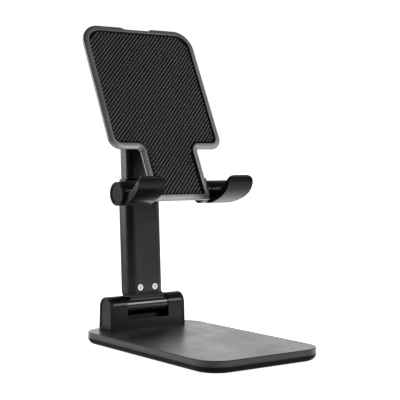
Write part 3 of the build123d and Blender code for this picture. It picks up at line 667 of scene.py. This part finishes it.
def screw_master():
    """One countersunk screw along -z with its head's face at the origin and a cross recess."""
    head_r, shank_r, head_depth, length = 1.88 * MM, 1.0 * MM, 1.1 * MM, 4.4 * MM
    arm, half, sink = 1.0 * MM, 0.26 * MM, 0.65 * MM
    edge = 0.12 * MM
    recess_taper = 0.8
    turns = 32
    cross = [(arm, -half), (arm, half), (half, half), (half, arm), (-half, arm), (-half, half),
             (-arm, half), (-arm, -half), (-half, -half), (-half, -arm), (half, -arm), (half, -half)]
    work = bmesh.new()

    def ring(radius, z):
        """One circle of points round the screw's axis."""
        angles = [2 * pi * i / turns for i in range(turns)]
        return [work.verts.new((radius * cos(angle), radius * sin(angle), z))
                for angle in angles]

    def loop_edges(loop):
        """The closed row of edges through the loop's points."""
        return [work.edges.new((loop[i], loop[(i + 1) % len(loop)])) for i in range(len(loop))]

    def wall(upper, lower):
        """The band of faces between two loops."""
        for i in range(len(upper)):
            k = (i + 1) % len(upper)
            work.faces.new((upper[i], upper[k], lower[k], lower[i]))

    rings = [ring(head_r - edge, 0), ring(head_r, -edge), ring(shank_r, -head_depth),
             ring(shank_r, -length)]
    mouth = [work.verts.new((x, y, 0)) for x, y in cross]
    floor = [work.verts.new((x * recess_taper, y * recess_taper, -sink)) for x, y in cross]
    bmesh.ops.triangle_fill(work, edges=loop_edges(rings[0]) + loop_edges(mouth), use_beauty=True,
                            normal=(0, 0, 1))
    for upper, lower in zip(rings, rings[1:]):
        wall(upper, lower)
    wall(mouth, floor)
    work.faces.new(floor)
    work.faces.new(rings[-1])
    bmesh.ops.recalc_face_normals(work, faces=work.faces)
    mesh = bpy.data.meshes.new("screw_master")
    work.to_mesh(mesh)
    work.free()
    return mesh


class STAND_OT_screws(bpy.types.Operator):
    """Build the two countersunk screws at the foot of the arm"""
    bl_idname = "phone_stand.screws"
    bl_label = "Arm Screws"

    def execute(self, context):
        places = [(-SCREW_HALF_SPACING, 0, 0), (SCREW_HALF_SPACING, 0, 0)]
        row = plain_mesh("screw_row", places, [])
        screws = new_piece("arm_screw_row", row, "steel")
        master = bpy.data.objects.new("screw_master", screw_master())
        values = {"Screw": master, "Turn": pi, "Seed": sizes().screw_seed,
                  "Finish": finish("steel")}
        to_tube_front = Matrix.Translation((0, -SCREW_FRONT, SCREW_HEIGHT))
        grow(screws, fastener_tree(), values,
             ARM @ to_tube_front @ Matrix.Rotation(radians(90), 4, "X"))
        bpy.data.objects.remove(master)
        if not screws.data.polygons:
            raise RuntimeError("the arm's screws were not made")
        place(screws, "arm", "screw_steel", "arm_screws")
        return {"FINISHED"}


# ---- stage ----
def ranged(tree, source, span, levels):
    """A smooth ramp from the first level to the second as the value crosses the span."""
    node = add(tree, "ShaderNodeMapRange",
               {"From Min": span[0], "From Max": span[1], "To Min": levels[0],
                "To Max": levels[1]}, interpolation_type="SMOOTHSTEP")
    tree.links.new(source, node.inputs["Value"])
    return node.outputs["Result"]


def studio_world():
    """Bright low backdrop behind, soft light from the right, dark to the left; seen as white."""
    world = bpy.data.worlds.new("studio")
    world.use_nodes = True
    tree = world.node_tree
    tree.nodes.clear()
    out = add(tree, "ShaderNodeOutputWorld")
    ways = add(tree, "ShaderNodeLightPath")
    seen = add(tree, "ShaderNodeBackground", {"Color": (1, 1, 1, 1), "Strength": SEEN_WORLD_GLOW})
    room = add(tree, "ShaderNodeBackground")
    direction = add(tree, "ShaderNodeTexCoord")
    axes = add(tree, "ShaderNodeSeparateXYZ")
    tree.links.new(direction.outputs["Generated"], axes.inputs["Vector"])
    # spans are shares of the unit direction along one axis; levels are strengths
    behind = ranged(tree, axes.outputs["Y"], (0.05, 0.50), (0.0, 1.0))
    behind_glow = ranged(tree, axes.outputs["Z"], (0.05, 0.60), (2.6, 0.6))
    backdrop = math_node(tree, "MULTIPLY", behind, behind_glow)
    rightward = ranged(tree, axes.outputs["X"], (-0.45, 0.50), (0.01, 1.0))
    right_glow = ranged(tree, axes.outputs["Z"], (0.05, 0.80), (1.0, 0.25))
    right = math_node(tree, "MULTIPLY", rightward, right_glow)
    mix = add(tree, "ShaderNodeMixShader")
    chain(tree,
          (math_node(tree, "MAXIMUM", backdrop, right), room.inputs["Strength"]),
          (ways.outputs["Is Camera Ray"], mix.inputs["Fac"]),
          (room.outputs["Background"], mix.inputs[1]),
          (seen.outputs["Background"], mix.inputs[2]),
          (mix.outputs["Shader"], out.inputs["Surface"]))
    bpy.context.scene.world = world


def studio_floor():
    """Pale floor, white to the eye; in the stand's reflections a painted pool of glow, bright nearby
    and dim far off, with a painted contact shadow along the base.
    """
    signs = ((-1, -1), (1, -1), (1, 1), (-1, 1))
    corners = [(x * FLOOR_REACH, y * FLOOR_REACH, 0) for x, y in signs]
    mesh = plain_mesh("floor", corners, [(0, 1, 2, 3)])
    floor = bpy.data.objects.new("floor", mesh)
    bpy.context.scene.collection.objects.link(floor)
    material, tree = new_material("studio_floor")
    out = add(tree, "ShaderNodeOutputMaterial")
    ways = add(tree, "ShaderNodeLightPath")
    spot = add(tree, "ShaderNodeTexCoord")
    axes = add(tree, "ShaderNodeSeparateXYZ")
    tree.links.new(spot.outputs["Object"], axes.inputs["Vector"])
    pool = add(tree, "ShaderNodeVectorMath", {1: FLOOR_GLOW_CENTRE}, operation="DISTANCE")
    tree.links.new(spot.outputs["Object"], pool.inputs[0])
    near = ranged(tree, pool.outputs["Value"], FLOOR_GLOW_SPAN, FLOOR_GLOW)
    beside = math_node(tree, "SUBTRACT", math_node(tree, "ABSOLUTE", axes.outputs["X"], 0),
                       FOOTPRINT_HALF_WIDTH)
    beyond = math_node(tree, "SUBTRACT", math_node(tree, "ABSOLUTE", axes.outputs["Y"], 0),
                       FOOTPRINT_HALF_LENGTH)
    clear = math_node(tree, "MAXIMUM", beside, beyond)
    # painted contact shadow: the reflected glow drops to 0.15 of itself within 30 mm of the base's
    # footprint
    painted_contact_shade = ranged(tree, clear, UNDER_EDGE_SPAN, UNDER_EDGE_SHADE)
    glow = add(tree, "ShaderNodeEmission")
    paper = add(tree, "ShaderNodeBsdfDiffuse", {"Color": (*colours().floor, 1)})
    white = add(tree, "ShaderNodeEmission", {"Strength": SEEN_FLOOR_GLOW})
    lit = add(tree, "ShaderNodeAddShader")
    mix = add(tree, "ShaderNodeMixShader")
    chain(tree,
          (math_node(tree, "MULTIPLY", near, painted_contact_shade), glow.inputs["Strength"]),
          (paper.outputs["BSDF"], lit.inputs[0]),
          (white.outputs["Emission"], lit.inputs[1]),
          (ways.outputs["Is Camera Ray"], mix.inputs["Fac"]),
          (glow.outputs["Emission"], mix.inputs[1]),
          (lit.outputs["Shader"], mix.inputs[2]),
          (mix.outputs["Shader"], out.inputs["Surface"]))
    mesh.materials.append(material)


def heading(azimuth, elevation):
    """The unit vector towards a heading; azimuth 0 is the stand's front."""
    return Vector((sin(azimuth) * cos(elevation), -cos(azimuth) * cos(elevation), sin(elevation)))


def soft_box(name, azimuth, elevation, distance, size, radiance):
    """A rectangular area light that looks at the stand's middle from a heading in degrees."""
    data = bpy.data.lights.new(name, "AREA")
    data.shape = "RECTANGLE"
    data.size, data.size_y = size
    data.energy = radiance * pi * size[0] * size[1]
    light = bpy.data.objects.new(name, data)
    bpy.context.scene.collection.objects.link(light)
    towards = heading(radians(azimuth), radians(elevation))
    light.location = STAND_MIDDLE + towards * distance
    light.rotation_mode = "QUATERNION"
    light.rotation_quaternion = towards.to_track_quat("Z", "Y")


def studio_camera():
    """The camera, low and to the left of the stand's front."""
    back = heading(CAMERA_AZIMUTH, CAMERA_ELEVATION)
    right = (-back).cross(Vector((0, 0, 1))).normalized()
    up = right.cross(-back)
    side = right * cos(CAMERA_ROLL) + up * sin(CAMERA_ROLL)
    top = up * cos(CAMERA_ROLL) - right * sin(CAMERA_ROLL)
    data = bpy.data.cameras.new("camera")
    data.sensor_width = CAMERA_SENSOR
    data.lens = CAMERA_LENS
    data.clip_start = CAMERA_NEAR
    camera = bpy.data.objects.new("camera", data)
    bpy.context.scene.collection.objects.link(camera)
    turn = Matrix((side, top, back)).transposed()
    camera.matrix_world = Matrix.Translation(CAMERA_PLACE) @ turn.to_4x4()
    bpy.context.scene.camera = camera


class STAND_OT_stage(bpy.types.Operator):
    """Build the pale floor, the studio light and the camera"""
    bl_idname = "phone_stand.stage"
    bl_label = "Stage"

    def execute(self, context):
        studio_floor()
        studio_world()
        soft_box("left_strip", azimuth=-142, elevation=4, distance=1.1, size=(0.16, 0.70),
                 radiance=5.0)
        soft_box("back_box", azimuth=165, elevation=50, distance=1.2, size=(0.60, 0.40),
                 radiance=2.5)
        soft_box("front_box", azimuth=40, elevation=21, distance=1.2, size=(0.45, 0.34),
                 radiance=8.0)
        studio_camera()
        context.scene.view_settings.view_transform = "Standard"
        return {"FINISHED"}


OPERATORS = (STAND_OT_base, STAND_OT_hinge, STAND_OT_arm, STAND_OT_screws, STAND_OT_plate,
             STAND_OT_pad, STAND_OT_hooks, STAND_OT_inner_parts, STAND_OT_stage)


class STAND_PT_panel(bpy.types.Panel):
    """Sidebar panel with the sizes, the colours and one button for each group of pieces"""
    bl_idname = "STAND_PT_panel"
    bl_label = "Phone Stand"
    bl_space_type = "VIEW_3D"
    bl_region_type = "UI"
    bl_category = "Phone Stand"

    def draw(self, context):
        for group in (sizes(), colours()):
            box = self.layout.box()
            for key in group.__annotations__:
                box.prop(group, key)
        for operator in OPERATORS:
            self.layout.operator(operator.bl_idname)


CLASSES = (StandSizes, StandColours, *OPERATORS, STAND_PT_panel)


def register():
    """Add the settings, operators and panel to Blender."""
    for item in CLASSES:
        bpy.utils.register_class(item)
    bpy.types.Scene.phone_stand_sizes = PointerProperty(type=StandSizes)
    bpy.types.Scene.phone_stand_colours = PointerProperty(type=StandColours)


def unregister():
    """Take the settings, operators and panel away again."""
    del bpy.types.Scene.phone_stand_colours
    del bpy.types.Scene.phone_stand_sizes
    for item in reversed(CLASSES):
        bpy.utils.unregister_class(item)


def main():
    """Build the whole stand and its stage."""
    register()
    for operator in OPERATORS:
        group, name = operator.bl_idname.split(".")
        getattr(getattr(bpy.ops, group), name)()


if __name__ == "__main__":
    main()
